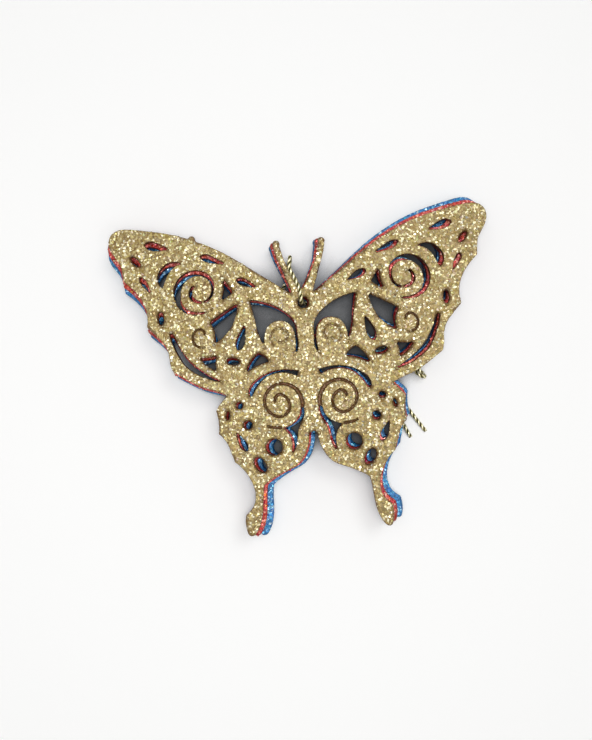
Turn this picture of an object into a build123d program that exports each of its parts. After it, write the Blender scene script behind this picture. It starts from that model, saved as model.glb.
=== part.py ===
from build123d import *
import math
import os

# Hanging ornament: three filigree butterfly plates of one shape, stacked face up and fanned a
# little, with one cord through the hole in each head. The cord is folded away under the stack.
# Millimetres, +Z up, heads towards +Y. The origin is the front plate's head hole, on the table.

# Plates
WING_SPAN = 120.8
PLATE_THICKNESS = 3.0
PLATE_GAP = 0.3
HEAD_HOLE_DIAMETER = 3.6
GROOVE_DEPTH = 1.3
FAINT_GROOVE_DEPTH = 0.4
GATE_NUB_RADIUS = 1.1

# Fan of the two lower plates: turn in degrees about a point on the front plate's middle line
MIDDLE_FAN = 1.5
MIDDLE_FAN_Y = -16.0
BACK_FAN = 3.2
BACK_FAN_Y = -6.0

# Cord and its knot
CORD_DIAMETER = 1.3
CORD_CLEARANCE = 0.3
CORD_AXIS_X = -0.55
KNOT_LENGTH = 4.6
KNOT_WIDTH = 4.6
KNOT_HEIGHT = 2.8
KNOT_ROUNDING = 1.1
KNOT_CLEARANCE = 0.2
KNOT_X = 23.6
KNOT_Y = -25.8
KNOT_HEADING = -54.7

# The drawing below shows the right half of a plate with the head hole at 0, 0. Each run is one
# smooth stretch between two corners of the outline, from the head's notch round to the tail arch.
OUTLINE = [
    [(0, 4.3), (0.9, 5.6), (1.9, 7.4), (3.2, 9.9), (4.7, 12.9), (5.5, 15.5), (6.2, 18.7)],
    [(6.2, 18.7), (7.2, 20.4), (8.2, 18.6)],
    [(8.2, 18.6), (7.8, 16.4), (7.1, 14.0), (6.3, 11.8), (5.0, 8.0), (4.0, 5.4), (3.3, 2.9)],
    [
        (3.3, 2.9), (8.0, 6.2), (15.0, 11.3), (22.5, 16.6), (30.0, 20.8), (38.0, 24.1), (46.5, 26.2),
        (53.0, 27.35), (56.6, 27.5), (59.4, 26.1), (60.4, 23.2), (59.1, 19.4), (57.2, 16.1),
        (56.7, 13.4), (56.5, 10.9),
    ],
    [(56.5, 10.9), (53.6, 8.0), (51.3, 4.7), (50.1, 1.4), (49.9, -1.4), (50.3, -4.2)],
    [(50.3, -4.2), (47.4, -7.2), (45.1, -10.1), (44.0, -13.4), (43.8, -16.3), (43.2, -18.7)],
    [(43.2, -18.7), (38.5, -22.0), (33.3, -24.9), (29.7, -26.2), (26.7, -27.7)],
    [(26.7, -27.7), (28.3, -29.6), (29.8, -31.4), (30.4, -32.8)],
    [(30.4, -32.8), (29.9, -36.4), (30.2, -39.9)],
    [(30.2, -39.9), (28.1, -42.2), (26.9, -45.0), (25.8, -49.0)],
    [(25.8, -49.0), (22.7, -52.3), (20.8, -55.8), (19.95, -59.6), (20.4, -62.7), (21.9, -65.1), (23.5, -66.4)],
    [(23.5, -66.4), (23.8, -69.6), (23.1, -72.7)],
    [(23.1, -72.7), (22.1, -73.25), (21.0, -72.8)],
    [(21.0, -72.8), (18.8, -68.9), (17.9, -64.5), (17.5, -60.3), (16.9, -57.1)],
    [(16.9, -57.1), (13.0, -54.7), (9.0, -52.95), (5.9, -51.5), (3.4, -48.7), (2.0, -45.6), (1.4, -42.6)],
    [(1.4, -42.6), (1.0, -41.6), (0, -41.2)],
]

# Through cells of the filigree, each a ring of runs
CELLS = {
    "wing_tip_crescent": [
        [(37.3, 15.1), (40.0, 16.0), (42.5, 15.6), (44.5, 14.0), (45.8, 11.6), (45.6, 9.4), (44.3, 7.9)],
        [(44.3, 7.9), (43.5, 9.8), (42.4, 12.0), (40.4, 14.2), (37.3, 15.1)],
    ],
    "scroll_side": [
        [(25.3, 9.7), (23.7, 7.6), (22.2, 5.1)],
        [(22.2, 5.1), (24.0, 3.7), (26.2, 2.6)],
        [(26.2, 2.6), (25.1, 5.6), (25.3, 9.7)],
    ],
    "inner_cell": [
        [(4.0, -16.9), (2.7, -14.4), (2.6, -10.4), (3.0, -6.5), (6.5, -2.2), (11.6, 0.7), (17.2, 2.1)],
        [(17.2, 2.1), (15.9, -4.0), (14.3, -11.2), (13.0, -13.9)],
        [
            (13.0, -13.9), (13.25, -10.2), (11.7, -6.7), (8.2, -5.2), (4.8, -6.7), (3.4, -10.2),
            (3.5, -14.2), (4.0, -16.9),
        ],
    ],
    "outer_cell": [
        [(21.0, 1.3), (25.3, -1.1), (30.3, -4.0)],
        [(30.3, -4.0), (28.9, -7.6), (29.3, -10.9)],
        [(29.3, -10.9), (25.2, -8.1), (22.3, -3.9), (21.0, 1.3)],
    ],
    "root_triangle": [
        [(15.6, -15.0), (13.7, -16.2), (12.3, -18.0)],
        [(12.3, -18.0), (16.3, -19.0), (20.0, -21.0)],
        [(20.0, -21.0), (18.4, -17.8), (15.6, -15.0)],
    ],
    "rim_triangle": [
        [(28.6, -14.8), (31.5, -15.3), (34.3, -15.2)],
        [(34.3, -15.2), (32.2, -17.8), (29.2, -19.7)],
        [(29.2, -19.7), (29.5, -17.2), (28.6, -14.8)],
    ],
    "tail_slot": [
        [(2.4, -33.4), (2.7, -36.6), (4.5, -39.9), (5.2, -43.6), (6.3, -46.8), (7.8, -48.7)],
        [(7.8, -48.7), (7.1, -46.2), (7.1, -43.4), (7.9, -41.3), (9.8, -39.5)],
        [(9.8, -39.5), (7.0, -38.6), (4.7, -36.8), (3.6, -33.4)],
        [(3.6, -33.4), (2.4, -33.4)],
    ],
}

# Half width of a leaf as a share of its width, at shares of its length from the pointed end
LEAF_PROFILE = [(0.33, 0.26), (0.66, 0.5), (0.9, 0.36)]

# Leaves: pointed end, round end, width
LEAVES = [
    ((40.4, 19.8), (49.1, 22.2), 2.8),
    ((47.8, 5.8), (51.3, 12.0), 1.9),
    ((13.6, 5.6), (20.7, 8.9), 2.4),
    ((22.9, 13.7), (31.7, 17.2), 2.3),
    ((18.8, -4.5), (21.8, -13.7), 2.9),
    ((24.9, -38.9), (21.5, -46.0), 2.5),
]

# Ovals: centre, length, width, lean of the length in degrees
OVALS = [
    ((52.4, 17.0), 4.1, 1.8, 50),
    ((45.7, -1.7), 4.3, 1.9, 90),
    ((23.8, -17.1), 4.2, 2.2, 12),
    ((12.8, -45.4), 5.2, 5.2, 0),
    ((17.6, -50.7), 5.4, 3.2, 58),
    ((20.6, -37.7), 2.8, 2.8, 0),
    ((22.9, -31.3), 2.2, 2.2, 0),
    ((26.8, -34.2), 2.9, 1.1, 100),
]

# Curved slots along a middle line: x, y, width
SWOOSHES = [
    [
        (42.9, -6.8, 0.9), (42.2, -9.0, 1.5), (41.1, -11.7, 1.8), (39.8, -14.3, 2.0), (38.0, -16.9, 2.2),
        (35.8, -18.9, 2.0), (33.3, -20.7, 1.6), (30.7, -22.1, 1.0), (28.0, -23.1, 0.5),
    ],
    [
        (3.5, -22.4, 1.7), (5.8, -21.7, 1.2), (8.5, -21.3, 0.9), (11.0, -21.5, 0.9), (13.4, -22.2, 1.0),
        (15.5, -23.4, 1.4), (17.3, -25.0, 1.9), (18.7, -27.0, 1.9), (19.1, -28.7, 1.0),
    ],
]

# The wing's large scroll, a through slot round its centre: angle in degrees, radius, width
WING_SCROLL_CENTRE = (33.7, 5.8)
WING_SCROLL = [
    (-125, 7.2, 0.5), (-90, 6.8, 0.8), (-45, 6.8, 1.5), (0, 6.2, 2.3), (45, 6.0, 2.3), (90, 6.1, 1.8),
    (135, 6.1, 1.3), (180, 5.2, 0.8), (225, 4.2, 0.7), (270, 3.0, 0.9), (315, 2.4, 1.1), (360, 1.9, 1.1),
    (405, 1.9, 0.9), (440, 2.0, 0.5),
]

# Engraved scroll lines: a centre with angles, radii and widths
TAIL_SCROLL_CENTRE = (9.9, -31.0)
TAIL_SCROLL = [
    (199, 7.4, 1.2), (180, 7.1, 1.3), (135, 6.3, 1.1), (90, 5.6, 0.9), (45, 5.1, 0.9), (0, 4.9, 0.9),
    (-45, 4.7, 0.8), (-90, 4.8, 0.8), (-135, 3.9, 0.8), (-180, 2.8, 0.8), (-225, 2.3, 0.9),
    (-270, 2.3, 0.9), (-315, 1.9, 0.9), (-360, 1.5, 0.7),
]
DISC_SCROLL_CENTRE = (8.2, -10.4)
DISC_SCROLL = [
    (-60, 3.4, 0.5), (-15, 3.2, 0.7), (45, 2.9, 0.7), (105, 2.8, 0.7), (165, 2.5, 0.7), (225, 2.1, 0.7),
    (285, 1.7, 0.7), (345, 1.4, 0.5),
]
RIM_SCROLL_CENTRE = (33.8, -9.0)
RIM_SCROLL = [
    (-158, 5.4, 0.4), (-135, 3.9, 0.5), (-95, 2.9, 0.6), (-45, 2.4, 0.7), (0, 2.2, 0.7), (50, 2.5, 0.7),
    (95, 3.0, 0.7), (120, 2.7, 0.7), (155, 1.7, 0.5),
]
TAIL_LINE = [(9.9, -39.4, 0.9), (11.6, -39.2, 0.8), (13.3, -38.9, 0.8), (14.9, -38.2, 0.5)]

# A moulding gate's stub on the left wing's top edge
GATE_NUB = (-34.0, 22.8)

# Cord route in the drawing's x and y, from one cut end to the other. UNDER lies on the table,
# OVER runs across the front plate's face.
UNDER, OVER = "under", "over"
CORD_ROUTE = [
    # First cut end, then through the knot
    (37.3, -44.9, UNDER), (34.8, -41.2, UNDER), (31.1, -35.5, UNDER), (26.2, -28.2, UNDER),
    # Round behind the knot and out to the tight fold at the wing's rim
    (22.2, -22.5, UNDER), (22.2, -19.6, UNDER), (23.8, -17.2, UNDER), (26.5, -16.2, UNDER),
    (29.3, -16.9, UNDER), (31.6, -19.6, UNDER), (33.3, -22.7, UNDER), (35.0, -25.1, UNDER),
    (37.3, -28.1, UNDER), (39.1, -27.0, UNDER), (38.1, -23.7, UNDER),
    # Under the wing to the head
    (36.4, -19.0, UNDER), (34.2, -14.2, UNDER), (29.5, -12.7, UNDER), (25.2, -12.3, UNDER),
    (22.7, -8.3, UNDER), (21.1, -3.7, UNDER), (19.8, 1.0, UNDER), (16.3, 3.9, UNDER),
    (11.5, 3.4, UNDER), (6.2, 1.8, UNDER),
    # Up through the three holes, along an antenna and down between the antennas
    (CORD_AXIS_X, 0.0, UNDER), (CORD_AXIS_X, 0.0, OVER), (-0.8, 4.4, OVER), (-2.5, 8.5, OVER),
    (-3.8, 11.3, OVER), (-3.1, 14.7, OVER), (-3.1, 14.7, UNDER),
    # Under the other wing, across the body and back to the knot
    (-4.5, 10.2, UNDER), (-5.7, 6.0, UNDER), (-9.4, 2.9, UNDER), (-13.8, 3.3, UNDER),
    (-17.3, 1.9, UNDER), (-19.0, -1.9, UNDER), (-17.8, -5.8, UNDER), (-16.9, -9.9, UNDER),
    (-14.7, -14.2, UNDER),
    (-10.5, -17.5, UNDER), (-5.6, -19.1, UNDER), (0.0, -18.7, UNDER), (5.5, -19.2, UNDER),
    (11.0, -19.5, UNDER), (16.2, -21.1, UNDER), (20.9, -23.6, UNDER),
    # Second cut end
    (24.7, -28.9, UNDER), (27.0, -34.5, UNDER), (29.5, -40.8, UNDER), (32.2, -46.4, UNDER),
]

# Share of the shorter run that each bend of the cord takes up, and of the knot's sides that its
# rounding may take up
BEND_SHARE = 0.45
ROUNDING_SHARE = 0.45

# Worked out from the sizes above
SCALE = WING_SPAN / (2 * max(x for run in OUTLINE for x, y in run))
BACK_BOTTOM = KNOT_HEIGHT + KNOT_CLEARANCE
MIDDLE_BOTTOM = BACK_BOTTOM + PLATE_THICKNESS + PLATE_GAP
FRONT_BOTTOM = MIDDLE_BOTTOM + PLATE_THICKNESS + PLATE_GAP
FRONT_TOP = FRONT_BOTTOM + PLATE_THICKNESS
CORD_LEVELS = {
    UNDER: CORD_DIAMETER / 2,
    OVER: FRONT_TOP + CORD_CLEARANCE + CORD_DIAMETER / 2,
}


def place(x, y):
    """A point of the drawing at its real place."""
    return Vector(x, y) * SCALE


def smooth(places):
    """One stretch of outline: a line, an arc through three points, or a curve through more."""
    if len(places) == 2:
        return Line(*places)
    if len(places) == 3:
        return ThreePointArc(*places)
    return Spline(*places)


def cell(runs):
    """A closed shape bounded by runs of drawing points."""
    return make_face([smooth([place(x, y) for x, y in run]) for run in runs])


def leaf(tip, head, width):
    """A leaf with a pointed tip and a round head."""
    start, end = place(*tip), place(*head)
    along = end - start
    across = along.normalized().rotate(Axis.Z, 90) * width * SCALE
    left = [start + along * t + across * w for t, w in LEAF_PROFILE]
    right = [start + along * t - across * w for t, w in reversed(LEAF_PROFILE)]
    return make_face([Spline(start, *left, end, *right, start)])


def oval(centre, length, width, lean):
    """An ellipse whose length leans by an angle from +X."""
    return Pos(place(*centre)) * Rot(0, 0, lean) * Ellipse(length * SCALE / 2, width * SCALE / 2)


def band(stations):
    """A strip of changing width along a middle line of (x, y, width) stations."""
    left, right = [], []
    for index, (x, y, width) in enumerate(stations):
        before = place(*stations[max(index - 1, 0)][:2])
        after = place(*stations[min(index + 1, len(stations) - 1)][:2])
        side = (after - before).normalized().rotate(Axis.Z, 90) * (width * SCALE / 2)
        left.append(place(x, y) + side)
        right.append(place(x, y) - side)
    right.reverse()
    return make_face([Spline(*left), Line(left[-1], right[0]), Spline(*right), Line(right[-1], left[0])])


def scroll(centre, stations):
    """A spiral strip round a centre, from (angle, radius, width) stations."""
    turns = []
    for angle, radius, width in stations:
        turn = math.radians(angle)
        turns.append((centre[0] + radius * math.cos(turn), centre[1] + radius * math.sin(turn), width))
    return band(turns)


def both_sides(faces):
    """The faces and their mirror images on the left half."""
    return faces + [mirror(face, about=Plane.YZ) for face in faces]


def butterfly_plate():
    """One filigree plate with its head hole at the origin and its back face on Z = 0."""
    half = [smooth([place(x, y) for x, y in run]) for run in OUTLINE]
    blank = make_face(half + [mirror(edge, about=Plane.YZ) for edge in half])

    openings = [cell(runs) for runs in CELLS.values()]
    openings += [leaf(*values) for values in LEAVES]
    openings += [oval(*values) for values in OVALS]
    openings += [band(stations) for stations in SWOOSHES]
    openings.append(scroll(WING_SCROLL_CENTRE, WING_SCROLL))
    blank += Pos(place(*GATE_NUB)) * Circle(GATE_NUB_RADIUS)
    filigree = blank - both_sides(openings) - Circle(HEAD_HOLE_DIAMETER / 2)

    grooves = [
        scroll(TAIL_SCROLL_CENTRE, TAIL_SCROLL),
        scroll(RIM_SCROLL_CENTRE, RIM_SCROLL),
        band(TAIL_LINE),
    ]
    plate = extrude(filigree, PLATE_THICKNESS)
    plate -= engraving(grooves, GROOVE_DEPTH)
    return plate - engraving([scroll(DISC_SCROLL_CENTRE, DISC_SCROLL)], FAINT_GROOVE_DEPTH)


def engraving(lines, depth):
    """The cutters for lines engraved to a depth in the plate's front face, on both sides."""
    floor = Pos(0, 0, PLATE_THICKNESS - depth)
    return [floor * extrude(line, depth) for line in both_sides(lines)]


def fanned(plate, turn, pivot_y, bottom):
    """A plate turned about a point on the middle line and set at its height in the stack."""
    pivot = place(0, pivot_y)
    return Pos(pivot.X, pivot.Y, bottom) * Rot(0, 0, turn) * Pos(-pivot.X, -pivot.Y, 0) * plate


def bend_radii(points):
    """The largest radius that each bend's two runs leave room for."""
    radii = []
    for before, corner, after in zip(points, points[1:], points[2:]):
        half_turn = math.radians((corner - before).get_angle(after - corner)) / 2
        shorter = min((corner - before).length, (after - corner).length)
        radii.append(BEND_SHARE * shorter / math.tan(half_turn))
    return radii


def hanging_cord():
    """The cord as one round tube along its route."""
    points = [Vector(x * SCALE, y * SCALE, CORD_LEVELS[level]) for x, y, level in CORD_ROUTE]
    radii = bend_radii(points)
    print("bend radii", [round(radius, 2) for radius in radii])
    path = FilletPolyline(*points, radius=radii)
    section = Plane(origin=path @ 0, z_dir=path % 0) * Circle(CORD_DIAMETER / 2)
    tube = sweep(section, path=path)
    expected = math.pi * (CORD_DIAMETER / 2) ** 2 * path.length
    print("cord length", round(path.length, 1), "volume", round(tube.volume, 2), "expected", round(expected, 2))
    return tube


def cord_knot():
    """The pulled-tight knot round both strands, resting on the table."""
    middle = place(KNOT_X, KNOT_Y)
    heading = Vector(1, 0, 0).rotate(Axis.Z, KNOT_HEADING)
    frame = Plane(
        origin=(middle.X, middle.Y, KNOT_HEIGHT / 2),
        x_dir=heading.rotate(Axis.Z, 90),
        z_dir=heading,
    )
    barrel = extrude(SlotOverall(KNOT_WIDTH, KNOT_HEIGHT), KNOT_LENGTH / 2, both=True)
    ends = barrel.faces().sort_by(Axis.Z)
    rims = ends[0].edges() + ends[-1].edges()
    room = ROUNDING_SHARE * min(KNOT_HEIGHT, KNOT_LENGTH)
    return frame * fillet(rims, min(KNOT_ROUNDING, room))


def main():
    """Build every piece and write one file for each."""
    plate = butterfly_plate()
    pieces = {
        "gold_butterfly": Pos(0, 0, FRONT_BOTTOM) * plate,
        "red_butterfly": fanned(plate, MIDDLE_FAN, MIDDLE_FAN_Y, MIDDLE_BOTTOM),
        "blue_butterfly": fanned(plate, BACK_FAN, BACK_FAN_Y, BACK_BOTTOM),
        "hanging_cord": hanging_cord(),
        "cord_knot": cord_knot(),
    }
    os.makedirs("parts", exist_ok=True)
    for node, piece in pieces.items():
        export_step(piece, f"parts/{node}.step")


main()
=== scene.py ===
"""Looks of a hanging ornament: three glitter-coated butterfly plates fanned on one twisted cord."""

import logging
import math
from dataclasses import dataclass
from enum import Enum
from typing import Any

import bmesh
import bpy
import numpy as np
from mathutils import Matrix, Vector
from mathutils.kdtree import KDTree

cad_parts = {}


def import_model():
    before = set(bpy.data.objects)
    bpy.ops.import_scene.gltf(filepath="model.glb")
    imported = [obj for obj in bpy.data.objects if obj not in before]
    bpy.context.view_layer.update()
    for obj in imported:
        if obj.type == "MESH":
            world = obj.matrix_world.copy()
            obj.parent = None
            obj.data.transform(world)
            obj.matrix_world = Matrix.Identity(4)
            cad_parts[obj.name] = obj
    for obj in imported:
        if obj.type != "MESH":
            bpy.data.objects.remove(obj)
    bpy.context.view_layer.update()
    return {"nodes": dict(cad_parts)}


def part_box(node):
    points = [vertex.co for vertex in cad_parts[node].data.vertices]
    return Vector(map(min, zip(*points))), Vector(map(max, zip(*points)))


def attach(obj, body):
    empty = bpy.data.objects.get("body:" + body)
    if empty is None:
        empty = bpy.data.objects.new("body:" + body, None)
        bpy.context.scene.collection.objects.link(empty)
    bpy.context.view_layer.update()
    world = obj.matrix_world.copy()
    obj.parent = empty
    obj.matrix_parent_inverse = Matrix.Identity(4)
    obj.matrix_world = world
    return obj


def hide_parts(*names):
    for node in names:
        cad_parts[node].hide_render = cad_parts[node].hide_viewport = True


LOG = logging.getLogger("butterfly_ornament")
MM = 0.001
UP = (0.0, 0.0, 1.0)
WHITE = "#ffffff"

# Names of the attributes that carry each flake's tone (painted glint included) and lean to its material,
# and how far a facet is spared the painted shade
FLAKE_TONE = "flake_tone"
FLAKE_LEAN = "flake_lean"
COAT_UNSHADED = "coat_unshaded"

# Name of the map on the cord: turn round a ply and length along it in millimetres
YARN_MAP = "yarn"

# Points closer than this are one point, and a direction shorter than this has no heading
SAME_PLACE = 1e-6
NO_LENGTH = 1e-9

# Inputs at which a hue and saturation node changes nothing
SAME_HUE = 0.5
SAME_STRENGTH = 1.0


class Coat(Enum):
    """How far loose flakes reach round a plate, as the lowest upward part of a face's normal."""

    FACE_AND_EDGES = -0.35
    ALL_OVER = -1.1


def linear(code: str) -> tuple[float, float, float, float]:
    """Turn an sRGB hex colour into a linear one.

    Args:
        code: Colour as "#rrggbb".

    Returns:
        Linear red, green, blue and a full alpha.
    """
    # The curve of the sRGB standard, on shares of full red, green and blue
    shares = [int(code[start:start + 2], 16) / 255 for start in (1, 3, 5)]
    light = [s / 12.92 if s <= 0.04045 else ((s + 0.055) / 1.055) ** 2.4 for s in shares]
    return (light[0], light[1], light[2], 1.0)


def add(tree: bpy.types.NodeTree, kind: str, inputs: dict[Any, Any] | None = None,
        **settings: Any) -> bpy.types.Node:
    """Add a node, set its properties, and fill its inputs with values or links.

    Args:
        tree: Node tree that takes the node.
        kind: The node's type name.
        inputs: Value or output socket for each input, by name or number.
        **settings: Properties of the node.

    Returns:
        The new node.
    """
    node = tree.nodes.new(kind)
    for name, value in settings.items():
        setattr(node, name, value)
    for key, value in (inputs or {}).items():
        if isinstance(value, bpy.types.NodeSocket):
            tree.links.new(value, node.inputs[key])
        else:
            node.inputs[key].default_value = value
    return node


def fill_ramp(node: bpy.types.Node, shades: tuple[tuple[float, str], ...]) -> None:
    """Give a colour ramp its stops.

    Args:
        node: The colour ramp.
        shades: Place from 0 to 1 and sRGB hex colour of each stop, in order.
    """
    stops = node.color_ramp.elements
    while len(stops) < len(shades):
        stops.new(1.0)
    for stop, (place, code) in zip(stops, shades):
        stop.position = place
        stop.color = linear(code)


def new_material(name: str) -> tuple[bpy.types.Material, bpy.types.NodeTree, bpy.types.Node]:
    """Start a material with an output node only.

    Args:
        name: Name of the material.

    Returns:
        The material, its node tree and its output node.
    """
    material = bpy.data.materials.new(name)
    material.use_nodes = True
    material.node_tree.nodes.clear()
    output = add(material.node_tree, "ShaderNodeOutputMaterial")
    return material, material.node_tree, output


def seen_rays(tree: bpy.types.NodeTree) -> bpy.types.NodeSocket:
    """Add nodes that tell what the camera sees, straight or in gloss or glass, from what only gets light.

    Args:
        tree: Node tree that takes the nodes.

    Returns:
        A socket that gives 1 for what is seen, and else 0.
    """
    ray = add(tree, "ShaderNodeLightPath")
    mirrored = add(
        tree, "ShaderNodeMath", {0: ray.outputs["Is Glossy Ray"], 1: ray.outputs["Is Transmission Ray"]},
        operation="ADD",
    )
    seen = add(
        tree, "ShaderNodeMath", {0: ray.outputs["Is Camera Ray"], 1: mirrored.outputs["Value"]},
        operation="ADD", use_clamp=True,
    )
    return seen.outputs["Value"]


def new_piece(name: str, mesh: bpy.types.Mesh) -> bpy.types.Object:
    """Link a mesh into the scene as a piece at the origin.

    Args:
        name: Name for the piece and its mesh.
        mesh: The mesh, which holds its own place.

    Returns:
        The piece.
    """
    mesh.name = name
    piece = bpy.data.objects.new(name, mesh)
    bpy.context.scene.collection.objects.link(piece)
    return piece


def evaluated_mesh(obj: bpy.types.Object) -> bpy.types.Mesh:
    """Turn an object, with its modifiers, into a plain mesh.

    Args:
        obj: The object.

    Returns:
        A new mesh.
    """
    depsgraph = bpy.context.evaluated_depsgraph_get()
    return bpy.data.meshes.new_from_object(
        obj.evaluated_get(depsgraph), preserve_all_data_layers=True, depsgraph=depsgraph
    )


def drop(obj: bpy.types.Object) -> None:
    """Remove a helper object.

    Args:
        obj: The object.
    """
    bpy.data.objects.remove(obj)


def read(items: Any, name: str, width: int) -> np.ndarray:
    """Read one property of all the items of a mesh.

    Args:
        items: Vertices, faces or the like of a mesh.
        name: Name of the property.
        width: How many numbers each item has.

    Returns:
        One row of numbers, or one number, for each item.
    """
    values = np.empty(len(items) * width, np.float32)
    items.foreach_get(name, values)
    return values.reshape(-1, width).astype(float) if width > 1 else values.astype(float)


def store(mesh: bpy.types.Mesh, name: str, kind: str, values: np.ndarray) -> None:
    """Keep one value for each face of a mesh as a named attribute.

    Args:
        mesh: The mesh.
        name: Name of the attribute.
        kind: Type of the attribute.
        values: One row for each face.
    """
    attribute = mesh.attributes.new(name, kind, "FACE")
    field = "vector" if kind == "FLOAT_VECTOR" else "value"
    attribute.data.foreach_set(field, values.astype(np.float32).ravel())


def set_input(modifier: bpy.types.Modifier, name: str, value: Any) -> None:
    """Set a named input of a node modifier by its socket's identifier.

    Args:
        modifier: The modifier.
        name: Name of the input.
        value: What it is set to.

    Raises:
        KeyError: The modifier's tree has no such input.
    """
    for item in modifier.node_group.interface.items_tree:
        if item.item_type == "SOCKET" and item.in_out == "INPUT" and item.name == name:
            modifier[item.identifier] = value
            return
    raise KeyError(name)


@dataclass(frozen=True)
class GlitterFinish:
    """Metallised polyester flakes glued all over a moulded polystyrene plate.

    The eye sees a grain of tiny tilted mirrors: most in the plain shade, some turned dark, and a few
    whose colour is painted nearly white as a painted glint. On the rims, down the walls and in the
    engraved lines a darker brown is painted as shade.
    """

    name: str
    slot: str
    painted_shade: str
    shades: tuple[tuple[float, str], ...]
    metallic: float = 0.3

    # Roughness of the smoothest and the roughest grit, and the factor on it for loose flakes
    smoothest: float = 0.3
    roughest: float = 0.5
    flake_gloss: float = 0.5

    # Size of the grit and how far it darkens or brightens, then how far a lean shifts the colour
    grit: float = 0.3 * MM
    darkest_grit: float = 0.82
    brightest_grit: float = 1.12
    hue_spread: float = 0.1
    strength_spread: float = 0.9

    def coat(self) -> bpy.types.Material:
        """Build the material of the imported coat.

        Returns:
            The material.
        """
        return self.material("coat", 1.0)

    def loose(self) -> bpy.types.Material:
        """Build the material of the loose flakes on top, which are clean and flat and so glossier.

        Returns:
            The material.
        """
        return self.material("loose_flakes", self.flake_gloss)

    def material(self, layer: str, gloss_share: float) -> bpy.types.Material:
        """Build a material that takes its shade and lean from each flake.

        Args:
            layer: Which layer of the glitter the material is for.
            gloss_share: Factor on the roughness.

        Returns:
            The material.
        """
        material, tree, output = new_material(f"{self.name}_{layer}")
        # A flake's tone picks its colour from the ramp, whose top stop is a painted glint
        tone = add(tree, "ShaderNodeAttribute", attribute_name=FLAKE_TONE)
        shade = add(tree, "ShaderNodeValToRGB", {"Fac": tone.outputs["Fac"]})
        fill_ramp(shade, self.shades)
        # Painted shade: on the rims, down the walls and in the engraved lines the colour is mixed towards
        # a darker brown
        coat_unshaded = add(tree, "ShaderNodeAttribute", attribute_name=COAT_UNSHADED)
        coated = add(
            tree, "ShaderNodeMix",
            {"Factor": coat_unshaded.outputs["Fac"], "A": linear(self.painted_shade), "B": shade.outputs["Color"]},
            data_type="RGBA",
        )

        # Fine grit between the flakes, in cells of a real size
        place = add(tree, "ShaderNodeTexCoord")
        grit = add(
            tree, "ShaderNodeTexVoronoi",
            {"Vector": place.outputs["Object"], "Scale": 1 / self.grit},
        )
        spread = add(
            tree, "ShaderNodeMapRange",
            {
                "Value": grit.outputs["Color"], "To Min": self.darkest_grit,
                "To Max": self.brightest_grit,
            },
        )

        # A flake's hue and the strength of its colour go with its lean
        lean = add(tree, "ShaderNodeAttribute", attribute_name=FLAKE_LEAN)
        sides = add(tree, "ShaderNodeSeparateXYZ", {"Vector": lean.outputs["Vector"]})
        hue = add(
            tree, "ShaderNodeMath", {0: sides.outputs["X"], 1: self.hue_spread, 2: SAME_HUE},
            operation="MULTIPLY_ADD",
        )
        strength = add(
            tree, "ShaderNodeMath",
            {0: sides.outputs["Y"], 1: self.strength_spread, 2: SAME_STRENGTH}, operation="MULTIPLY_ADD",
        )
        speckled = add(
            tree, "ShaderNodeHueSaturation",
            {
                "Color": coated.outputs["Result"], "Value": spread.outputs["Result"],
                "Hue": hue.outputs["Value"], "Saturation": strength.outputs["Value"],
            },
        )
        gloss = add(
            tree, "ShaderNodeMapRange",
            {
                "Value": grit.outputs["Color"], "To Min": self.smoothest * gloss_share,
                "To Max": self.roughest * gloss_share,
            },
        )

        # Each flake leans its own way
        surface = add(tree, "ShaderNodeNewGeometry")
        leaning = add(
            tree, "ShaderNodeVectorMath",
            {0: surface.outputs["Normal"], 1: lean.outputs["Vector"]}, operation="ADD",
        )
        facing = add(
            tree, "ShaderNodeVectorMath", {0: leaning.outputs["Vector"]}, operation="NORMALIZE",
        )
        shader = add(
            tree, "ShaderNodeBsdfPrincipled",
            {
                "Base Color": speckled.outputs["Color"], "Metallic": self.metallic,
                "Roughness": gloss.outputs["Result"], "Normal": facing.outputs["Vector"],
            },
        )
        tree.links.new(shader.outputs["BSDF"], output.inputs["Surface"])
        return material


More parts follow.
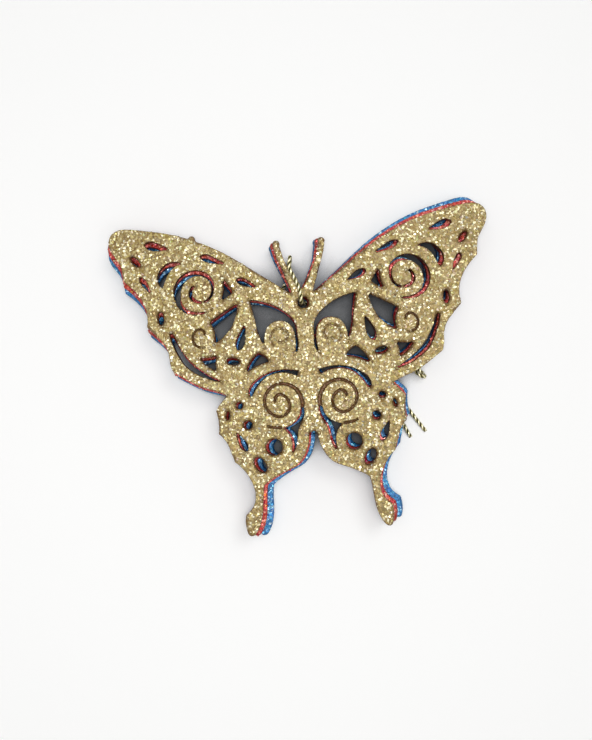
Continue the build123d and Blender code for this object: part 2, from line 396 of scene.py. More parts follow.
@dataclass(frozen=True)
class YarnFinish:
    """Gold metallised yarn: narrow shiny film wound round a thread, two of them twisted together.

    A bright bead where each ply comes up and a dark olive gap where it goes under are painted light and
    shade.
    """

    name: str = "twisted_gold_metallised_yarn"
    slot: str = "metallic_cord"
    shades: tuple[tuple[float, str], ...] = (
        (0.0, "#2c2810"), (0.4, "#6a6430"), (0.65, "#a89e66"), (0.85, "#e2daab"), (1.0, "#fffbe2"),
    )
    metallic: float = 0.55
    roughness: float = 0.32

    # Width of the film, how many strips lie side by side, their share in the shade and their relief
    film_width: float = 0.3 * MM
    film_starts: float = 2.0
    film_share: float = 0.3
    film_relief: float = 0.06 * MM
    relief_strength: float = 0.5

    # Outward part of the direction at which the side of a ply is darkest in its painted shade
    darkest_side: float = -0.4

    def material(self) -> bpy.types.Material:
        """Build the material, whose wound film follows the piece's own map.

        Returns:
            The material.
        """
        material, tree, output = new_material(self.name)
        wound = add(tree, "ShaderNodeUVMap", uv_map=YARN_MAP)
        split = add(tree, "ShaderNodeSeparateXYZ", {"Vector": wound.outputs["UV"]})

        # Strips of film wind round each ply
        along = add(
            tree, "ShaderNodeMath", {0: split.outputs["Y"], 1: MM / self.film_width},
            operation="MULTIPLY",
        )
        turn = add(
            tree, "ShaderNodeMath",
            {0: split.outputs["X"], 1: self.film_starts, 2: along.outputs["Value"]},
            operation="MULTIPLY_ADD",
        )
        half_strip = 0.5
        ridge = add(
            tree, "ShaderNodeMath", {0: turn.outputs["Value"], 1: half_strip}, operation="PINGPONG",
        )

        # Painted light and shade: the side of a ply that faces out of the cord is painted bright, the side
        # against its neighbour dark
        angle = add(
            tree, "ShaderNodeMath", {0: split.outputs["X"], 1: 2 * math.pi}, operation="MULTIPLY",
        )
        out = add(tree, "ShaderNodeMath", {0: angle.outputs["Value"]}, operation="COSINE")
        lit = add(
            tree, "ShaderNodeMapRange",
            {
                "Value": out.outputs["Value"], "From Min": self.darkest_side,
                "To Max": 1.0 - self.film_share / 2,
            },
        )
        lift = add(
            tree, "ShaderNodeMath",
            {0: ridge.outputs["Value"], 1: self.film_share, 2: lit.outputs["Result"]},
            operation="MULTIPLY_ADD",
        )
        shade = add(tree, "ShaderNodeValToRGB", {"Fac": lift.outputs["Value"]})
        fill_ramp(shade, self.shades)
        bump = add(
            tree, "ShaderNodeBump",
            {
                "Height": ridge.outputs["Value"], "Strength": self.relief_strength,
                "Distance": self.film_relief,
            },
        )
        shader = add(
            tree, "ShaderNodeBsdfPrincipled",
            {
                "Base Color": shade.outputs["Color"], "Metallic": self.metallic,
                "Roughness": self.roughness, "Normal": bump.outputs["Normal"],
            },
        )
        tree.links.new(shader.outputs["BSDF"], output.inputs["Surface"])
        return material


@dataclass(frozen=True)
class PaperFinish:
    """Smooth white card under the ornament, which shows as a plain pale floor.

    It is white in the open, and a dark grey shadow is painted where the stack covers it, as seen through
    the openings.
    """

    name: str = "smooth_white_card"
    colour: str = "#f7f7f6"
    painted_shadow: str = "#6c6e70"

    # Reach of what covers the card, and the shares of open sky at which its painted shadow is darkest and
    # the card white
    reach: float = 14.0 * MM
    covered_sky: float = 0.2
    open_sky: float = 0.5

    roughness: float = 0.9
    specular: float = 0.2
    glow: float = 0.09

    def material(self) -> bpy.types.Material:
        """Build the material, which paints a shadow where little sky reaches the card.

        Returns:
            The material.
        """
        material, tree, output = new_material(self.name)
        sky = add(tree, "ShaderNodeAmbientOcclusion", {"Distance": self.reach})
        share = add(
            tree, "ShaderNodeMapRange",
            {"Value": sky.outputs["AO"], "From Min": self.covered_sky, "From Max": self.open_sky},
        )
        colour = add(
            tree, "ShaderNodeMix",
            {"Factor": share.outputs["Result"], "A": linear(self.painted_shadow), "B": linear(self.colour)},
            data_type="RGBA",
        )

        # In the open the card looks a shade whiter, which lights nothing else
        bare = add(
            tree, "ShaderNodeMath", {0: share.outputs["Result"], 1: self.glow}, operation="MULTIPLY",
        )
        glow = add(
            tree, "ShaderNodeMath", {0: seen_rays(tree), 1: bare.outputs["Value"]},
            operation="MULTIPLY",
        )
        shader = add(
            tree, "ShaderNodeBsdfPrincipled",
            {
                "Base Color": colour.outputs["Result"], "Roughness": self.roughness,
                "Specular IOR Level": self.specular, "Emission Color": linear(WHITE),
                "Emission Strength": glow.outputs["Value"],
            },
        )
        tree.links.new(shader.outputs["BSDF"], output.inputs["Surface"])
        return material


# Upward part of the normal above which a face is flat, and below which it is a wall
FLAT_FACING = 0.9
WALL_FACING = 0.5

# A wall deeper than this share of the plate goes right through it
THROUGH_SHARE = 0.8


@dataclass
class Rims:
    """The sharp edges where a plate's flat faces meet its walls, with the radius each is rounded to."""

    points: np.ndarray
    radii: np.ndarray
    lookup: KDTree

    @classmethod
    def of(cls, shell: bmesh.types.BMesh, levels: tuple[float, float], wall_radius: float,
           groove_radius: float, step: float) -> "Rims":
        """Find the rims of a plate.

        Args:
            shell: The plate's solid.
            levels: Heights of the lower and the upper face.
            wall_radius: Radius for the rims of the outline and of the through cells.
            groove_radius: Radius for the rims of the engraved lines.
            step: Spacing of the points along the rims.

        Returns:
            The rims of both faces.
        """
        points, radii = [], []
        for edge in shell.edges:
            level = edge.verts[0].co.z
            if len(edge.link_faces) != 2 or abs(edge.verts[1].co.z - level) > step:
                continue
            if min(abs(level - flat) for flat in levels) > step:
                continue
            wall, flat = sorted(edge.link_faces, key=lambda face: abs(face.normal.z))
            if abs(flat.normal.z) < FLAT_FACING or abs(wall.normal.z) > WALL_FACING:
                continue
            depth = max(abs(vert.co.z - level) for vert in wall.verts)
            through = depth > THROUGH_SHARE * (levels[1] - levels[0])
            start, end = (vert.co for vert in edge.verts)
            count = max(1, math.ceil((end - start).length / step))
            points += [start.lerp(end, index / count) for index in range(count)]
            radii += [wall_radius if through else groove_radius] * count
        lookup = KDTree(len(points))
        for index, point in enumerate(points):
            lookup.insert(point, index)
        lookup.balance()
        return cls(np.array(points), np.array(radii), lookup)

    def nearest(self, places: np.ndarray) -> tuple[np.ndarray, np.ndarray]:
        """Find the rim point nearest to each place.

        Args:
            places: Points to look up.

        Returns:
            The rim points and their radii.
        """
        index = np.array([self.lookup.find(place)[1] for place in places])
        return self.points[index], self.radii[index]


@dataclass(frozen=True)
class LooseFlakes:
    """Thin hexagonal flakes strewn over a plate: most small and plain, a few large with a paler tone as a
    painted glint.
    """

    corners: int = 6
    most_per_square_metre: float = 4.0e6

    # Power that makes large flakes rare, then the least size and shade, and what is added to them, the
    # added shade being a painted glint
    rarity: float = 3.0
    least_size: float = 0.6
    size_range: float = 0.7
    least_tone: float = 0.5
    tone_range: float = 0.5

    def tree(self) -> bpy.types.NodeTree:
        """Build the node tree that strews the flakes over a surface.

        Returns:
            The tree, whose inputs are the flakes' spacing, sizes, lean, reach, seed and finish.
        """
        tree = bpy.data.node_groups.new("flake_scatter", "GeometryNodeTree")
        sockets = (
            ("Geometry", "NodeSocketGeometry"), ("Spacing", "NodeSocketFloat"),
            ("Radius", "NodeSocketFloat"), ("Thickness", "NodeSocketFloat"),
            ("Lean", "NodeSocketFloat"), ("Lowest facing", "NodeSocketFloat"),
            ("Seed", "NodeSocketInt"), ("Finish", "NodeSocketMaterial"),
        )
        for name, kind in sockets:
            tree.interface.new_socket(name, in_out="INPUT", socket_type=kind)
        tree.interface.new_socket("Geometry", in_out="OUTPUT", socket_type="NodeSocketGeometry")
        given = add(tree, "NodeGroupInput")

        # Only faces that look far enough up are coated
        facing = add(tree, "GeometryNodeInputNormal")
        up = add(tree, "ShaderNodeSeparateXYZ", {"Vector": facing.outputs["Normal"]})
        coated = add(
            tree, "FunctionNodeCompare",
            {"A": up.outputs["Z"], "B": given.outputs["Lowest facing"]}, operation="GREATER_THAN",
        )
        # Fewer loose flakes where the painted shade lies on rims, walls and engraved lines
        coat_unshaded = add(tree, "GeometryNodeInputNamedAttribute", {"Name": COAT_UNSHADED}, data_type="FLOAT")
        points = add(
            tree, "GeometryNodeDistributePointsOnFaces",
            {
                "Mesh": given.outputs["Geometry"], "Selection": coated.outputs["Result"],
                "Distance Min": given.outputs["Spacing"], "Density Max": self.most_per_square_metre,
                "Density Factor": coat_unshaded.outputs["Attribute"], "Seed": given.outputs["Seed"],
            },
            distribute_method="POISSON",
        )

        # Each flake turns freely and leans a little off the surface
        half_turn = math.pi
        most = add(
            tree, "ShaderNodeCombineXYZ",
            {0: given.outputs["Lean"], 1: given.outputs["Lean"], 2: half_turn},
        )
        least = add(
            tree, "ShaderNodeVectorMath", {0: most.outputs["Vector"], 1: (-1, -1, -1)},
            operation="MULTIPLY",
        )
        lean = add(
            tree, "FunctionNodeRandomValue",
            {0: least.outputs["Vector"], 1: most.outputs["Vector"], "Seed": given.outputs["Seed"]},
            data_type="FLOAT_VECTOR",
        )
        turn = add(tree, "FunctionNodeEulerToRotation", {"Euler": lean.outputs[0]})
        settled = add(
            tree, "FunctionNodeRotateRotation",
            {"Rotation": points.outputs["Rotation"], "Rotate By": turn.outputs["Rotation"]},
            rotation_space="LOCAL",
        )

        # Most flakes are small and plain, a few are large with a paler tone painted as a glint
        draw = add(tree, "FunctionNodeRandomValue", {"Seed": given.outputs["Seed"]}, data_type="FLOAT")
        rare = add(tree, "ShaderNodeMath", {0: draw.outputs[1], 1: self.rarity}, operation="POWER")
        size = add(
            tree, "ShaderNodeMath", {0: rare.outputs["Value"], 1: self.size_range, 2: self.least_size},
            operation="MULTIPLY_ADD",
        )
        shade = add(
            tree, "ShaderNodeMath", {0: rare.outputs["Value"], 1: self.tone_range, 2: self.least_tone},
            operation="MULTIPLY_ADD",
        )
        flake = add(
            tree, "GeometryNodeMeshCylinder",
            {
                "Vertices": self.corners, "Radius": given.outputs["Radius"],
                "Depth": given.outputs["Thickness"],
            },
            fill_type="NGON",
        )
        strewn = add(
            tree, "GeometryNodeInstanceOnPoints",
            {
                "Points": points.outputs["Points"], "Instance": flake.outputs["Mesh"],
                "Rotation": settled.outputs["Rotation"], "Scale": size.outputs["Value"],
            },
        )
        toned = add(
            tree, "GeometryNodeStoreNamedAttribute",
            {"Geometry": strewn.outputs["Instances"], "Name": FLAKE_TONE, "Value": shade.outputs["Value"]},
            data_type="FLOAT", domain="INSTANCE",
        )
        real = add(tree, "GeometryNodeRealizeInstances", {"Geometry": toned.outputs["Geometry"]})
        finished = add(
            tree, "GeometryNodeSetMaterial",
            {"Geometry": real.outputs["Geometry"], "Material": given.outputs["Finish"]},
        )
        add(tree, "NodeGroupOutput", {"Geometry": finished.outputs["Geometry"]})
        return tree


@dataclass
class GlitterPlate:
    """One filigree butterfly plate: a moulded plate with rounded rims under a coat of glitter.

    Such flakes are about 0.2 mm across. Here they are drawn about twice as coarse, so that they show.
    On the rims, down the walls and in the engraved lines a darker brown is painted as shade.
    """

    node: str
    body: str
    finish: GlitterFinish
    coat: Coat
    seed: int

    # Facets: their grain, the rounding of the rims, and how far points stand off and wander
    grain: float = 0.3 * MM
    rim_radius: float = 1.0 * MM
    groove_rim_radius: float = 0.2 * MM
    rim_step: float = 0.1 * MM
    roughness: float = 0.022 * MM
    most_spreads: float = 2.0
    wander: float = 0.08 * MM
    kept_share: float = 0.42

    # Flakes: their area and lean, their shades from 0 to 1, and the shares that flash and lie askew, whose
    # near-white tones are painted glints
    flake_area: float = 0.18 * MM * MM
    flake_lean: float = 0.17
    tone_middle: float = 0.46
    tone_spread: float = 0.11
    plain_tones: tuple[float, float] = (0.22, 0.85)
    flash_tones: tuple[float, float] = (0.85, 1.0)
    flash_share: float = 0.09
    stray_share: float = 0.07
    stray_lean: float = 4.0

    # Painted shade: depths at which it starts and is darkest, and how strong it is on walls and on sloping
    # rims
    shade_start_depth: float = 0.35 * MM
    shade_full_depth: float = 1.1 * MM
    wall_shade_share: float = 0.45
    rim_shade: float = 0.95

    # Loose flakes on top
    loose_radius: float = 0.33 * MM
    loose_thickness: float = 0.05 * MM
    loose_spacing: float = 1.0 * MM
    loose_lean: float = math.radians(12)

    def build(self, node: bpy.types.Object, scatter: bpy.types.NodeTree) -> list[bpy.types.Object]:
        """Make the plate and its loose flakes, and set them on their body.

        Args:
            node: The plate's solid, which the pieces stand for.
            scatter: Node tree that strews loose flakes over a plate.

        Returns:
            The plate and its flakes.
        """
        plate = new_piece(f"{self.node}_glitter_coat", self.facets(node))
        plate.data.materials.append(self.finish.coat())
        flakes = new_piece(f"{self.node}_loose_flakes", self.loose_flakes(plate, scatter))
        for piece in (plate, flakes):
            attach(piece, self.body)
        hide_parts(self.node)
        return [plate, flakes]

    def facets(self, node: bpy.types.Object) -> bpy.types.Mesh:
        """Make the plate as a closed skin of small facets, each with its flake's shade and lean.

        Args:
            node: The plate's solid.

        Returns:
            The finished mesh.
        """
        random = np.random.default_rng(self.seed)
        shell = bmesh.new()
        shell.from_mesh(node.data)
        bmesh.ops.remove_doubles(shell, verts=shell.verts, dist=SAME_PLACE)
        low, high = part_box(self.node)
        levels = (low[2], high[2])
        rims = Rims.of(shell, levels, self.rim_radius, self.groove_rim_radius, self.rim_step)
        solid = bpy.data.meshes.new("plate_solid")
        shell.to_mesh(solid)
        shell.free()

        helper = new_piece("plate_helper", solid)
        remesh = helper.modifiers.new("grain", "REMESH")
        remesh.mode = "VOXEL"
        remesh.voxel_size = self.grain
        fine = evaluated_mesh(helper)
        drop(helper)
        places = read(fine.vertices, "co", 3)
        normals = read(fine.vertex_normals, "vector", 3)
        places = self.rounded(places, normals, rims, levels)
        drift = random.normal(0, self.wander, places.shape)
        drift -= normals * np.sum(drift * normals, axis=1)[:, None]
        most = self.most_spreads * self.roughness
        lift = random.normal(0, self.roughness, len(places)).clip(-most, most)
        places += drift + normals * lift[:, None]
        fine.vertices.foreach_set("co", places.astype(np.float32).ravel())
        fine.update()

        helper = new_piece("plate_helper", fine)
        thin = helper.modifiers.new("facets", "DECIMATE")
        thin.ratio = self.kept_share
        mesh = evaluated_mesh(helper)
        drop(helper)
        mesh.shade_flat()
        self.shade(mesh, levels, random)
        return mesh

    def rounded(self, places: np.ndarray, normals: np.ndarray, rims: Rims,
                levels: tuple[float, float]) -> np.ndarray:
        """Move the points beside the rims onto quarter rounds.

        Args:
            places: Points of the plate.
            normals: Normal at each point.
            rims: The plate's rims.
            levels: Heights of the lower and the upper face.

        Returns:
            The points, with those beside a rim moved.
        """
        corner, radius = rims.nearest(places)
        level = corner[:, 2]
        facing = np.where(level > sum(levels) / 2, 1.0, -1.0)
        depth = (level - places[:, 2]) * facing
        plan = places[:, :2] - corner[:, :2]
        distance = np.linalg.norm(plan, axis=1)
        beside = ((distance < radius) & (depth < radius))[:, None]

        # On the flat face the way inward is the way from the rim, and on the wall it is against the normal
        inward = np.where((distance > depth)[:, None], plan, -normals[:, :2])
        inward /= np.maximum(np.linalg.norm(inward, axis=1), NO_LENGTH)[:, None]

        # The angle grows from nothing on the wall to a quarter turn on the flat face
        angle = (1 + np.clip((distance - depth) / radius, -1, 1)) * math.pi / 4
        moved = corner.copy()
        moved[:, :2] += inward * (radius * (1 - np.cos(angle)))[:, None]
        moved[:, 2] -= facing * radius * (1 - np.sin(angle))
        return np.where(beside, moved, places)

    def shade(self, mesh: bpy.types.Mesh, levels: tuple[float, float],
              random: np.random.Generator) -> None:
        """Gather the facets into flakes, each with a shade and a lean, and paint shade onto rims, walls
        and engraved lines.

        Args:
            mesh: The faceted plate.
            levels: Heights of the lower and the upper face.
            random: Source of the draws.
        """
        centres = read(mesh.polygons, "center", 3)
        area = read(mesh.polygons, "area", 1).sum()
        flakes = random.choice(len(centres), int(area / self.flake_area), replace=False)
        lookup = KDTree(len(flakes))
        for index, face in enumerate(flakes):
            lookup.insert(centres[face], index)
        lookup.balance()
        owner = np.array([lookup.find(centre)[1] for centre in centres])
        tones = random.normal(self.tone_middle, self.tone_spread, len(flakes)).clip(*self.plain_tones)
        # Painted glints: a share of the flakes takes near-white tones
        flashing = random.random(len(flakes)) < self.flash_share
        tones[flashing] = random.uniform(*self.flash_tones, flashing.sum())
        most = self.flake_lean
        leans = random.normal(0, most / self.most_spreads, (len(flakes), 3)).clip(-most, most)
        # Stray flakes lean far off and take the near-white painted glint tones too
        stray = random.random(len(flakes)) < self.stray_share
        tones[stray] = random.uniform(*self.flash_tones, stray.sum())
        leans[stray] *= self.stray_lean

        # Painted shade, darker with depth, fullest on the floors of the engraved lines, weaker down the
        # walls, and growing with the slope of a rim
        depth = np.minimum(levels[1] - centres[:, 2], centres[:, 2] - levels[0])
        depth_shade = ((depth - self.shade_start_depth) / (self.shade_full_depth - self.shade_start_depth)).clip(0, 1)
        level = np.abs(read(mesh.polygons, "normal", 3)[:, 2])
        recess_shade = depth_shade * (self.wall_shade_share + (1 - self.wall_shade_share) * level)
        rim_shade = self.rim_shade * np.sqrt((1 - level * level).clip(0, 1))
        store(mesh, COAT_UNSHADED, "FLOAT", 1 - np.maximum(recess_shade, rim_shade))
        store(mesh, FLAKE_TONE, "FLOAT", tones[owner])
        store(mesh, FLAKE_LEAN, "FLOAT_VECTOR", leans[owner])

    def loose_flakes(self, plate: bpy.types.Object, scatter: bpy.types.NodeTree) -> bpy.types.Mesh:
        """Strew thin hexagonal flakes over the plate.

        Args:
            plate: The faceted plate.
            scatter: Node tree that strews the flakes.

        Returns:
            All the flakes as one mesh.
        """
        helper = new_piece("flake_helper", plate.data.copy())
        modifier = helper.modifiers.new("flakes", "NODES")
        modifier.node_group = scatter
        set_input(modifier, "Spacing", self.loose_spacing)
        set_input(modifier, "Radius", self.loose_radius)
        set_input(modifier, "Thickness", self.loose_thickness)
        set_input(modifier, "Lean", self.loose_lean)
        set_input(modifier, "Lowest facing", self.coat.value)
        set_input(modifier, "Seed", self.seed)
        set_input(modifier, "Finish", self.finish.loose())
        mesh = evaluated_mesh(helper)
        drop(helper)
        return mesh


# Heights of the cord's middle line in millimetres: on the table, lifted at the fold, and over the
# front plate
UNDER = 0.65
LIFTED = 3.4
OVER = 13.55

# The cord's route in millimetres, from one cut end to the other
CORD_ROUTE = (
    # First cut end, then through the knot
    (37.3, -44.9, UNDER), (34.8, -41.2, UNDER), (31.1, -35.5, UNDER), (26.2, -28.2, UNDER),
    # Round behind the knot and out to the tight fold at the wing's rim
    (22.2, -22.5, UNDER), (22.2, -19.6, UNDER), (23.8, -17.2, UNDER), (26.5, -16.2, UNDER),
    (29.3, -16.9, UNDER), (31.6, -19.6, UNDER), (33.4, -22.4, 1.3), (35.1, -24.7, 2.2),
    (36.0, -25.8, LIFTED), (37.1, -26.7, LIFTED), (38.1, -27.0, 2.6), (38.4, -26.6, 1.45),
    (37.9, -25.8, UNDER), (36.9, -24.9, UNDER), (36.2, -22.9, UNDER),
    # Under the wing to the head
    (36.4, -19.6, UNDER), (34.2, -14.2, UNDER), (29.5, -12.7, UNDER), (25.2, -12.3, UNDER),
    (22.7, -8.3, UNDER), (21.1, -3.7, UNDER), (19.8, 1.0, UNDER), (16.3, 3.9, UNDER),
    (11.5, 3.4, UNDER), (6.2, 1.8, UNDER),
    # Up through the three holes, along an antenna and down between the antennas
    (-0.55, 0.0, UNDER), (-0.55, 0.0, 9.1), (-0.55, 0.0, OVER), (-0.8, 4.4, OVER), (-2.5, 8.5, OVER),
    (-3.8, 11.3, OVER), (-3.1, 14.7, OVER), (-3.1, 14.7, 10.1), (-3.1, 14.7, 5.3), (-3.1, 14.7, UNDER),
    # Under the other wing, across the body and back to the knot
    (-4.5, 10.2, UNDER), (-5.7, 6.0, UNDER), (-9.4, 2.9, UNDER), (-13.8, 3.3, UNDER),
    (-17.3, 1.9, UNDER), (-19.0, -1.9, UNDER), (-17.8, -5.8, UNDER), (-16.9, -9.9, UNDER),
    (-14.7, -14.2, UNDER), (-10.5, -17.5, UNDER), (-5.6, -19.1, UNDER), (0.0, -18.7, UNDER),
    (5.5, -19.2, UNDER), (11.0, -19.5, UNDER), (16.2, -21.1, UNDER), (20.9, -23.6, UNDER),
    # Second cut end
    (24.7, -28.9, UNDER), (27.0, -34.5, UNDER), (29.5, -40.8, UNDER), (32.2, -46.4, UNDER),
)


def length_along(line: np.ndarray) -> np.ndarray:
    """Measure a line from its start to each of its points.

    Args:
        line: Points of the line.

    Returns:
        The length at each point.
    """
    return np.concatenate([[0.0], np.cumsum(np.linalg.norm(np.diff(line, axis=0), axis=1))])


def frames_along(line: np.ndarray, first_up: np.ndarray) -> tuple[np.ndarray, np.ndarray]:
    """Carry a pair of cross directions along a line without twisting them.

    Args:
        line: Points of the line.
        first_up: A direction near the first cross direction.

    Returns:
        First and second cross direction at each point.
    """
    tangents = np.gradient(line, axis=0)
    tangents /= np.linalg.norm(tangents, axis=1)[:, None]
    ups = np.empty_like(line)
    up = first_up
    for index, tangent in enumerate(tangents):
        up = up - tangent * np.dot(up, tangent)
        up = up / np.linalg.norm(up)
        ups[index] = up
    return ups, np.cross(tangents, ups)


@dataclass
class Tube:
    """A closed tube of oval section along a line, with a map of turn and length."""

    line: np.ndarray
    outs: np.ndarray
    half_width: float
    half_height: float
    sides: int = 10

    def add_to(self, shell: bmesh.types.BMesh) -> None:
        """Add the tube's faces to a mesh under construction.

        Args:
            shell: The mesh under construction.
        """
        chart = shell.loops.layers.uv.get(YARN_MAP) or shell.loops.layers.uv.new(YARN_MAP)
        tangents = np.gradient(self.line, axis=0)
        tangents /= np.linalg.norm(tangents, axis=1)[:, None]
        outs = self.outs - tangents * np.sum(self.outs * tangents, axis=1)[:, None]
        outs /= np.linalg.norm(outs, axis=1)[:, None]
        across = np.cross(tangents, outs)
        lengths = length_along(self.line) / MM
        turns = np.arange(self.sides) * (2 * math.pi / self.sides)
        rings = []
        for point, out, side in zip(self.line, outs, across):
            ring = point + np.outer(np.cos(turns) * self.half_height, out)
            ring = ring + np.outer(np.sin(turns) * self.half_width, side)
            rings.append([shell.verts.new(place) for place in ring])
        for row, (near, far) in enumerate(zip(rings, rings[1:])):
            for column in range(self.sides):
                after = (column + 1) % self.sides
                face = shell.faces.new((near[column], near[after], far[after], far[column]))
                face.smooth = True
                corners = ((column, row), (column + 1, row), (column + 1, row + 1), (column, row + 1))
                for loop, (turn, along) in zip(face.loops, corners):
                    loop[chart].uv = (turn / self.sides, lengths[along])
        shell.faces.new(list(reversed(rings[0])))
        shell.faces.new(rings[-1])


@dataclass
class HangingCord:
    """The twisted cord through the three heads, tied into a loop by a knot."""

    finish: YarnFinish
    body: str = "back_plate"
    cord_node: str = "hanging_cord"
    knot_node: str = "cord_knot"
    diameter: float = 1.3 * MM

    # Plies: their number, the length of one twist, and how far each is pressed broad
    plies: int = 2
    twist_pitch: float = 3.7 * MM
    ply_spread: float = 1.3

    # The spline that the cord follows
    spline_order: int = 3
    samples_per_point: int = 18

    # The knot, as wraps of the cord pressed flat
    knot_place: tuple[float, float] = (23.6 * MM, -25.8 * MM)
    knot_heading: float = math.radians(-54.7)
    knot_length: float = 4.6 * MM
    knot_width: float = 4.6 * MM
    knot_height: float = 2.8 * MM
    wraps: float = 3.0
    steps_per_wrap: int = 48
    wrap_sides: int = 12
    wrap_thickness: float = 0.72 * MM
    wrap_breadth: float = 1.3 * MM

    def build(self) -> list[bpy.types.Object]:
        """Make the cord and its knot, and set them on their body.

        Returns:
            The cord and the knot.
        """
        material = self.finish.material()
        line = self.middle_line()
        cord = new_piece("twisted_hanging_cord", self.strands(line))
        knot = new_piece("tied_cord_knot", self.knot())
        for piece, node in ((cord, self.cord_node), (knot, self.knot_node)):
            piece.data.materials.append(material)
            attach(piece, self.body)
            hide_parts(node)
        return [cord, knot]

    def middle_line(self) -> np.ndarray:
        """Lay the route as one smooth spline and read its points.

        Returns:
            Points of the cord's middle line, in metres.
        """
        curve = bpy.data.curves.new("cord_route", "CURVE")
        curve.dimensions = "3D"
        spline = curve.splines.new("NURBS")
        spline.points.add(len(CORD_ROUTE) - 1)
        for point, place in zip(spline.points, CORD_ROUTE):
            point.co = (*(value * MM for value in place), 1.0)
        spline.order_u = self.spline_order
        spline.use_endpoint_u = True
        spline.resolution_u = self.samples_per_point
        helper = bpy.data.objects.new("cord_route", curve)
        bpy.context.scene.collection.objects.link(helper)
        mesh = evaluated_mesh(helper)
        line = np.array([vert.co for vert in mesh.vertices], float)
        drop(helper)
        bpy.data.meshes.remove(mesh)
        return line

    def strands(self, line: np.ndarray) -> bpy.types.Mesh:
        """Twist the plies round the cord's middle line.

        Args:
            line: Points of the middle line.

        Returns:
            The plies as one mesh.
        """
        ups, sides = frames_along(line, np.array(UP))
        lengths = length_along(line)

        # Opposite plies fill the cord's width, so each is half as thick as the cord
        ply_radius = self.diameter / 4
        shell = bmesh.new()
        for ply in range(self.plies):
            turn = lengths / self.twist_pitch * 2 * math.pi + ply * 2 * math.pi / self.plies
            out = ups * np.cos(turn)[:, None] + sides * np.sin(turn)[:, None]
            Tube(line + out * ply_radius, out, ply_radius * self.ply_spread, ply_radius).add_to(shell)
        mesh = bpy.data.meshes.new("strands")
        shell.to_mesh(mesh)
        shell.free()
        return mesh

    def knot(self) -> bpy.types.Mesh:
        """Wind the knot's wraps tightly round both strands.

        Returns:
            The wraps as one mesh.
        """
        turns = np.linspace(0, self.wraps * 2 * math.pi, int(self.wraps * self.steps_per_wrap))
        half_width = (self.knot_width - self.wrap_thickness) / 2
        half_height = (self.knot_height - self.wrap_thickness) / 2
        run = (self.knot_length - self.wrap_breadth) * (turns / turns[-1] - 0.5)
        along = np.array([math.cos(self.knot_heading), math.sin(self.knot_heading), 0.0])
        across = np.array([-along[1], along[0], 0.0])
        centre = np.array([*self.knot_place, self.knot_height / 2])
        outs = np.outer(np.cos(turns) * half_width, across)
        outs[:, 2] += np.sin(turns) * half_height
        line = centre + np.outer(run, along) + outs
        shell = bmesh.new()
        Tube(line, outs, self.wrap_breadth / 2, self.wrap_thickness / 2, self.wrap_sides).add_to(shell)
        mesh = bpy.data.meshes.new("wraps")
        shell.to_mesh(mesh)
        shell.free()
        return mesh


@dataclass(frozen=True)
class SoftLight:
    """A far, broad light: the way to it, its breadth in degrees and its strength."""

    name: str
    towards: tuple[float, float, float]
    breadth: float
    strength: float


SOFT_LIGHTS = (
    SoftLight("overhead_light", (0.1, 0.08, 1.0), 14, 0.58),
    SoftLight("upper_right_light", (0.38, 0.38, 1.0), 24, 0.54),
    SoftLight("upper_left_light", (-0.35, 0.35, 1.0), 22, 0.13),
    SoftLight("lower_right_light", (0.35, -0.35, 1.0), 22, 0.19),
)


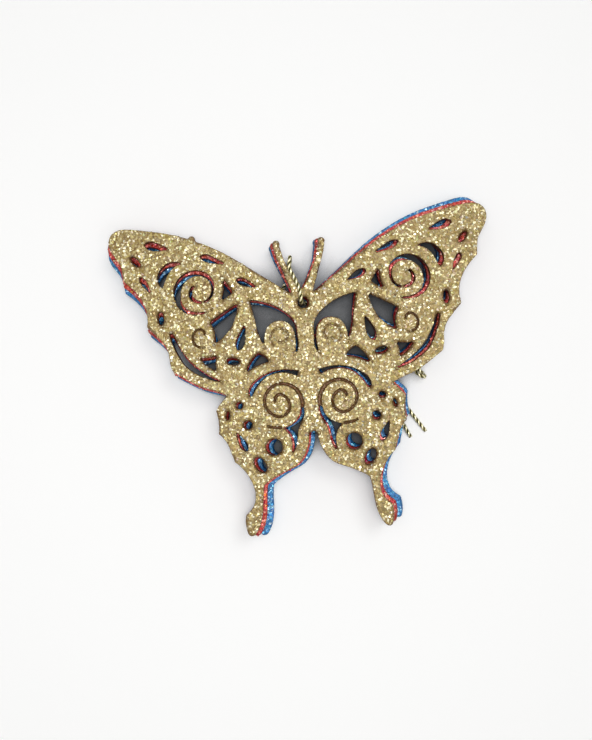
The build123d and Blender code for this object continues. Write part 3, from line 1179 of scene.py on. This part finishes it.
@dataclass
class Studio:
    """Pale floor, an even sky, soft lights with a small lamp by the camera, and the camera above."""

    floor_finish: PaperFinish
    floor_size: float = 4.0

    # Strength of the sky as light and as it is seen, then the lamp
    sky_level: float = 0.3
    backdrop_level: float = 0.85
    lamp_place: tuple[float, float, float] = (-20 * MM, -30 * MM, 400 * MM)
    lamp_size: float = 100 * MM
    lamp_power: float = 0.39

    # Camera, with its lens and sensor in millimetres
    camera_place: tuple[float, float, float] = (-3.98 * MM, -21.35 * MM, 302.6 * MM)
    camera_roll: float = math.radians(-4.5)
    lens: float = 44.29
    sensor: float = 36.0
    nearest: float = 10 * MM

    def build(self) -> None:
        """Set up the floor, the light and the camera."""
        self.lay_floor()
        self.light()
        self.aim_camera()

    def lay_floor(self) -> None:
        """Lay the floor that the ornament lies on."""
        shell = bmesh.new()
        bmesh.ops.create_grid(shell, x_segments=1, y_segments=1, size=self.floor_size / 2)
        mesh = bpy.data.meshes.new("pale_floor")
        shell.to_mesh(mesh)
        shell.free()
        mesh.materials.append(self.floor_finish.material())
        new_piece("pale_floor", mesh)

    def light(self) -> None:
        """Hang a small lamp by the camera and soft lights round it, under an even pale sky.

        The sky looks brighter than the light it gives, so that the backdrop is pale.
        """
        world = bpy.data.worlds.new("even_sky")
        world.use_nodes = True
        sky = world.node_tree.nodes["Background"]
        sky.inputs["Color"].default_value = linear(WHITE)
        level = add(
            world.node_tree, "ShaderNodeMath",
            {0: seen_rays(world.node_tree), 1: self.backdrop_level - self.sky_level, 2: self.sky_level},
            operation="MULTIPLY_ADD",
        )
        world.node_tree.links.new(level.outputs["Value"], sky.inputs["Strength"])
        bpy.context.scene.world = world

        for soft in SOFT_LIGHTS:
            light = bpy.data.lights.new(soft.name, "SUN")
            light.angle = math.radians(soft.breadth)
            self.hang(light, soft.towards, soft.strength)
        lamp = bpy.data.lights.new("lamp_by_the_camera", "AREA")
        lamp.size = self.lamp_size
        self.hang(lamp, self.lamp_place, self.lamp_power)

    def hang(self, light: bpy.types.Light, place: tuple[float, float, float], energy: float) -> None:
        """Put a light in its place, facing the ornament.

        Args:
            light: The light.
            place: Where it hangs, which for a far light is only its direction.
            energy: Its power or strength.
        """
        light.energy = energy
        holder = bpy.data.objects.new(light.name, light)
        holder.location = place
        holder.rotation_euler = Vector(place).to_track_quat("Z", "Y").to_euler()
        bpy.context.scene.collection.objects.link(holder)

    def aim_camera(self) -> None:
        """Hold the camera level above the ornament, turned a little about the vertical."""
        data = bpy.data.cameras.new("overhead")
        data.lens = self.lens
        data.sensor_width = self.sensor
        data.clip_start = self.nearest
        camera = bpy.data.objects.new("overhead", data)
        camera.location = self.camera_place
        camera.rotation_euler = (0.0, 0.0, self.camera_roll)
        bpy.context.scene.collection.objects.link(camera)
        bpy.context.scene.camera = camera


# Each finish: name, slot, the brown or tint painted as shade, and a tone ramp whose top stop is a painted
# glint
GOLD = GlitterFinish(
    "gold_polyester_glitter", "gold_glitter", "#6a4626",
    ((0.0, "#4e3e1e"), (0.25, "#6e5b2a"), (0.5, "#8c7844"), (0.8, "#c2b478"), (1.0, "#fff8d6")),
)
RED = GlitterFinish(
    "red_polyester_glitter", "red_glitter", "#8e201a",
    ((0.0, "#5c0e10"), (0.3, "#8a1c16"), (0.55, "#b22e20"), (0.8, "#dc5440"), (1.0, "#ffbcaa")),
)
BLUE = GlitterFinish(
    "blue_polyester_glitter", "blue_glitter", "#165a92",
    ((0.0, "#06204a"), (0.3, "#10507f"), (0.55, "#1c6ea6"), (0.8, "#44a6d2"), (1.0, "#c4f0ff")),
)


def main() -> None:
    """Build the ornament's pieces in order, then the studio."""
    logging.basicConfig(level=logging.INFO, format="%(name)s: %(message)s")
    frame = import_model()
    bpy.context.scene.view_settings.view_transform = "Standard"

    scatter = LooseFlakes().tree()
    plates = (
        GlitterPlate("gold_butterfly", "front_plate", GOLD, Coat.FACE_AND_EDGES, seed=11),
        GlitterPlate("red_butterfly", "middle_plate", RED, Coat.FACE_AND_EDGES, seed=23),
        GlitterPlate("blue_butterfly", "back_plate", BLUE, Coat.ALL_OVER, seed=37),
    )
    made = HangingCord(YarnFinish()).build()
    for plate in plates:
        made += plate.build(frame["nodes"][plate.node], scatter)
    Studio(PaperFinish()).build()
    for piece in made:
        LOG.info("%s has %d faces", piece.name, len(piece.data.polygons))


if __name__ == "__main__":
    main()
